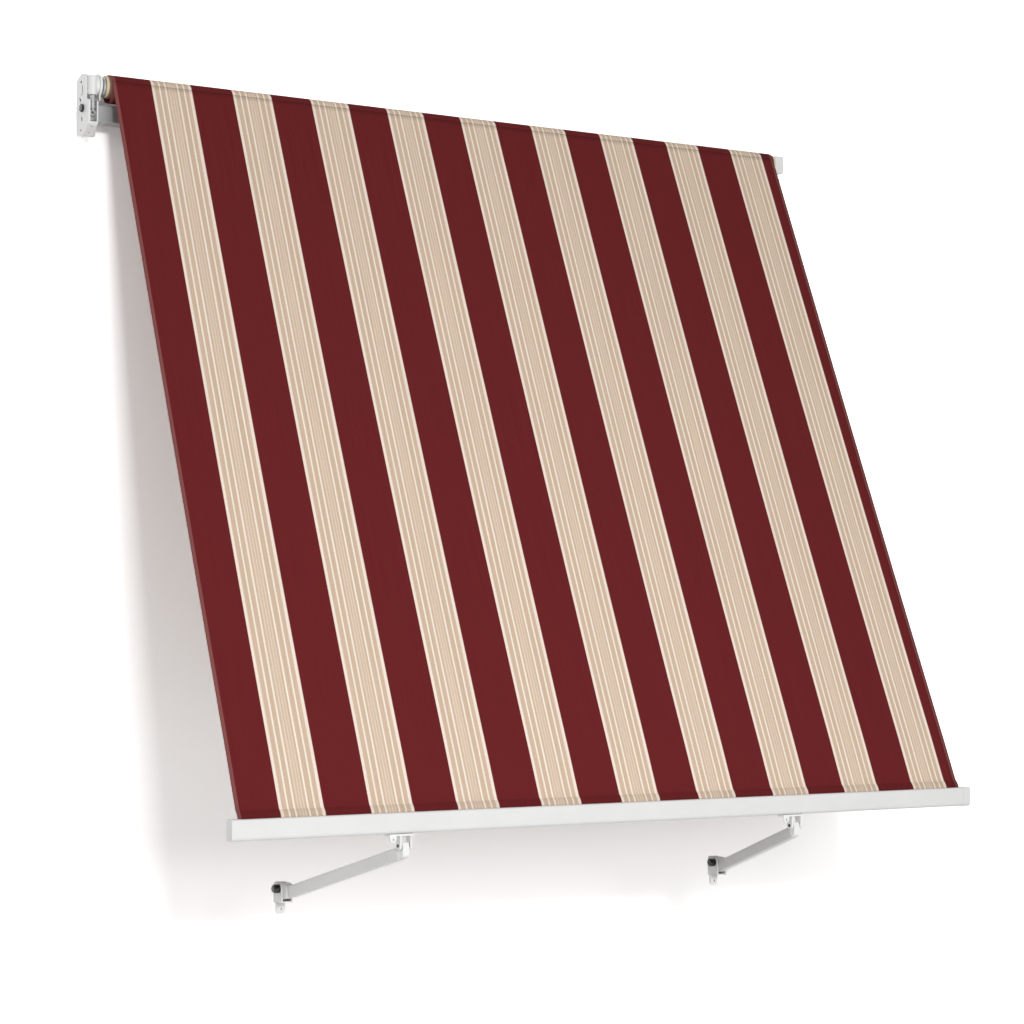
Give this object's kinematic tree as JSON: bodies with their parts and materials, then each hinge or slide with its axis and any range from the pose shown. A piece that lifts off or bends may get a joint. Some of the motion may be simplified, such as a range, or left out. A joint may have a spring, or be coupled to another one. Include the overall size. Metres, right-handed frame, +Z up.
{
  "type": "fabric awning",
  "caption": "Drop-arm window awning: striped fabric from a wall-bracketed roller with a crank winch down to a front bar held out on hinged arms.",
  "frame": {"origin": "on the wall face of the left top bracket, at the height of the roller's axis and 20 mm inboard of the bracket's outer face", "axes": "+X to the right along the wall as seen by someone in front of the awning, +Y into the wall, +Z up"},
  "size_m": [1.9313, 0.8096, 1.8619],
  "materials": {
    "white_powder_coated_casting": "fine satin powder coat on cast aluminium",
    "white_powder_coated_profile": "smooth satin powder coat on extruded aluminium",
    "galvanised_steel": "dull zinc",
    "zinc_fastener": "bright zinc plating",
    "dark_steel": "blackened",
    "grey_zinc_casting": "matte grey die casting",
    "cream_nylon": "moulded",
    "black_nylon": "moulded, fine grain",
    "acrylic_fabric": "woven, burgundy with beige stripes"
  },
  "bodies": {
    "wall_frame": {"left_bracket": "white_powder_coated_casting", "right_bracket": "white_powder_coated_casting", "square_bar": "galvanised_steel", "left_bar_plug": "black_nylon", "right_bar_plug": "black_nylon", "left_bar_bolt": "zinc_fastener", "right_bar_bolt": "zinc_fastener", "winch_housing": "white_powder_coated_casting", "winch_cover": "white_powder_coated_casting", "cover_screw_1": "zinc_fastener", "cover_screw_2": "zinc_fastener", "cover_screw_3": "zinc_fastener", "right_bush": "black_nylon", "left_wall_bracket": "white_powder_coated_casting", "right_wall_bracket": "white_powder_coated_casting", "left_pivot_bolt": "zinc_fastener", "right_pivot_bolt": "zinc_fastener", "left_knob": "black_nylon", "right_knob": "black_nylon"},
    "crank": {"crank_shaft": "grey_zinc_casting"},
    "roller": {"roller_tube": "galvanised_steel", "roller_left_cap": "cream_nylon", "roller_right_cap": "cream_nylon", "drive_spindle": "grey_zinc_casting", "worm_wheel": "cream_nylon", "fabric_roll": "acrylic_fabric", "roller_welt": "cream_nylon"},
    "fabric": {"fabric": "acrylic_fabric"},
    "left_arm": {"left_arm_beam": "white_powder_coated_profile", "left_arm_inner_end": "white_powder_coated_casting", "left_arm_outer_end": "white_powder_coated_casting"},
    "right_arm": {"right_arm_beam": "white_powder_coated_profile", "right_arm_inner_end": "white_powder_coated_casting", "right_arm_outer_end": "white_powder_coated_casting"},
    "front_bar": {"front_bar": "white_powder_coated_profile", "front_bar_left_cap": "white_powder_coated_casting", "front_bar_right_cap": "white_powder_coated_casting", "left_cap_screw": "zinc_fastener", "right_cap_screw": "zinc_fastener", "left_fork": "white_powder_coated_casting", "right_fork": "white_powder_coated_casting", "left_fork_pin": "dark_steel", "right_fork_pin": "dark_steel", "left_fork_screw_1": "zinc_fastener", "left_fork_screw_2": "zinc_fastener", "right_fork_screw_1": "zinc_fastener", "right_fork_screw_2": "zinc_fastener", "hem_welt": "cream_nylon"}
  },
  "joints": [
    {"name": "arm_swing", "type": "hinge", "parent": "wall_frame", "child": "left_arm", "pos_m": [0.324, -0.39, -1.776], "axis": [-1, 0, 0], "range_deg": [0, 70]},
    {"name": "right_arm_swing", "type": "hinge", "parent": "wall_frame", "child": "right_arm", "pos_m": [1.464, -0.39, -1.776], "axis": [-1, 0, 0], "range_deg": [0, 70]},
    {"name": "bar_pivot", "type": "hinge", "parent": "left_arm", "child": "front_bar", "pos_m": [0.402, -0.796, -1.656], "axis": [-1, 0, 0], "range_deg": [-79.2, 0]},
    {"name": "fabric_swing", "type": "hinge", "parent": "wall_frame", "child": "fabric", "pos_m": [0.9, -0.054, 0], "axis": [-1, 0, 0], "range_deg": [-9.2, 0], "deforming": ["fabric"]},
    {"name": "roller_turn", "type": "hinge", "parent": "wall_frame", "child": "roller", "pos_m": [0.9, -0.054, 0], "axis": [-1, 0, 0], "range_deg": [0, 860]},
    {"name": "crank_turn", "type": "hinge", "parent": "wall_frame", "child": "crank", "pos_m": [-0.008, -0.0731, -0.03], "axis": [0, 0, -1], "range_deg": [0, 9455]}
  ],
  "couplings": [
    {"joint": "right_arm_swing", "follows": "arm_swing", "ratio": 1},
    {"joint": "bar_pivot", "follows": "arm_swing", "ratio": -1.131},
    {"joint": "fabric_swing", "follows": "arm_swing", "ratio": -0.131},
    {"joint": "roller_turn", "follows": "arm_swing", "ratio": 12.27},
    {"joint": "crank_turn", "follows": "arm_swing", "ratio": 134.97}
  ]
}
